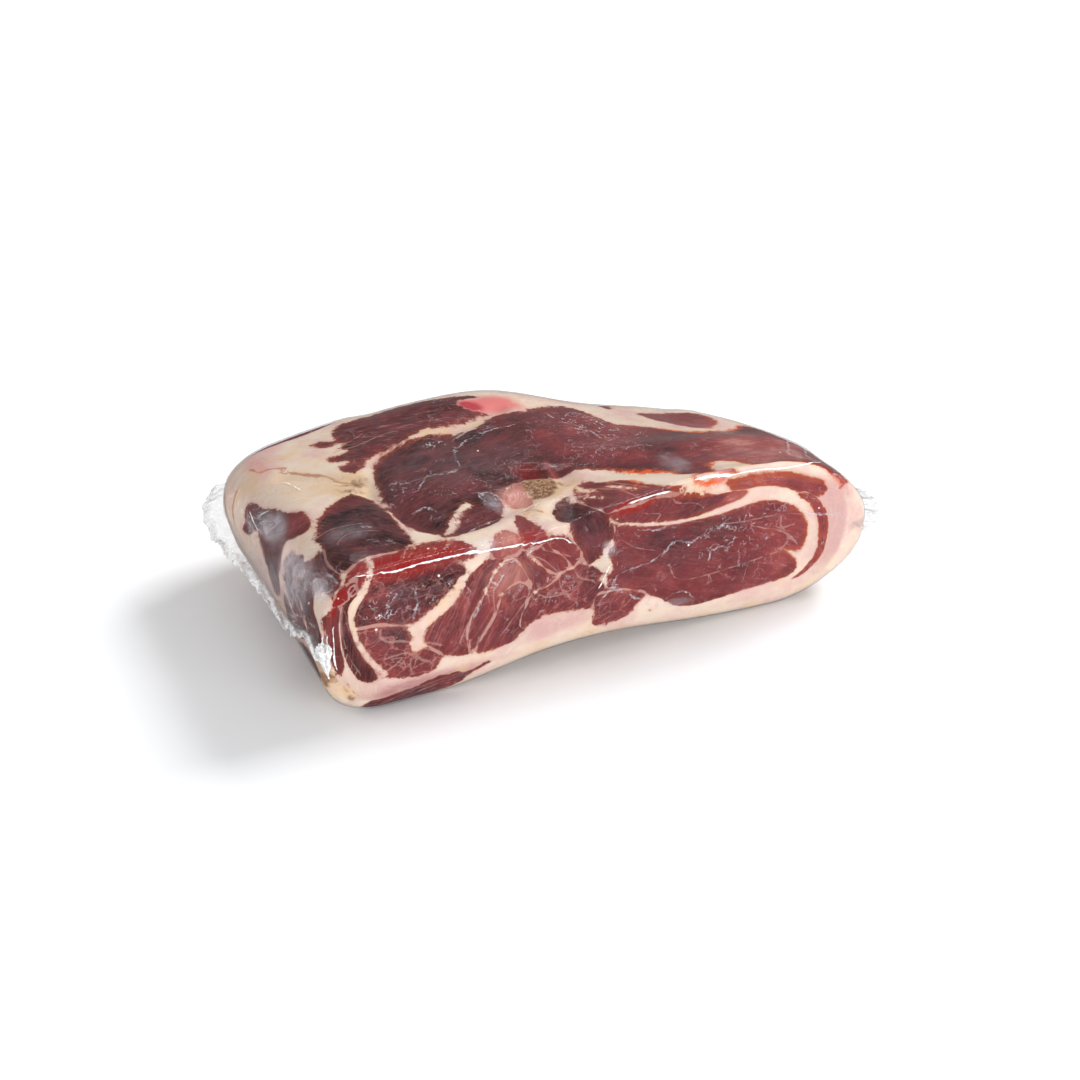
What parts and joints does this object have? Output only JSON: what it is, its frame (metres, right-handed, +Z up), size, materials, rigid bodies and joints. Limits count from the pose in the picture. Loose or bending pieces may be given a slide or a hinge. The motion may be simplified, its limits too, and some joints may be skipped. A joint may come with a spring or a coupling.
{
  "type": "boneless cured shoulder ham, half, vacuum packed",
  "caption": "Half of a boneless dry-cured shoulder ham, pressed to a flat-bottomed block with one straight cut face, vacuum packed in clear film with crinkled end seals.",
  "frame": {"origin": "centre of the bounding box in X and Y, on the plane that the ham rests on", "axes": "+X along the cut face to the fat end, +Y back from the cut face, +Z up"},
  "size_m": [0.2594, 0.145, 0.0675],
  "materials": {
    "packed_ham": "dark red cured lean with cream and pink fat, seen through clear glossy vacuum film"
  },
  "bodies": {
    "root": {"vacuum_packed_ham": "packed_ham"}
  },
  "joints": []
}
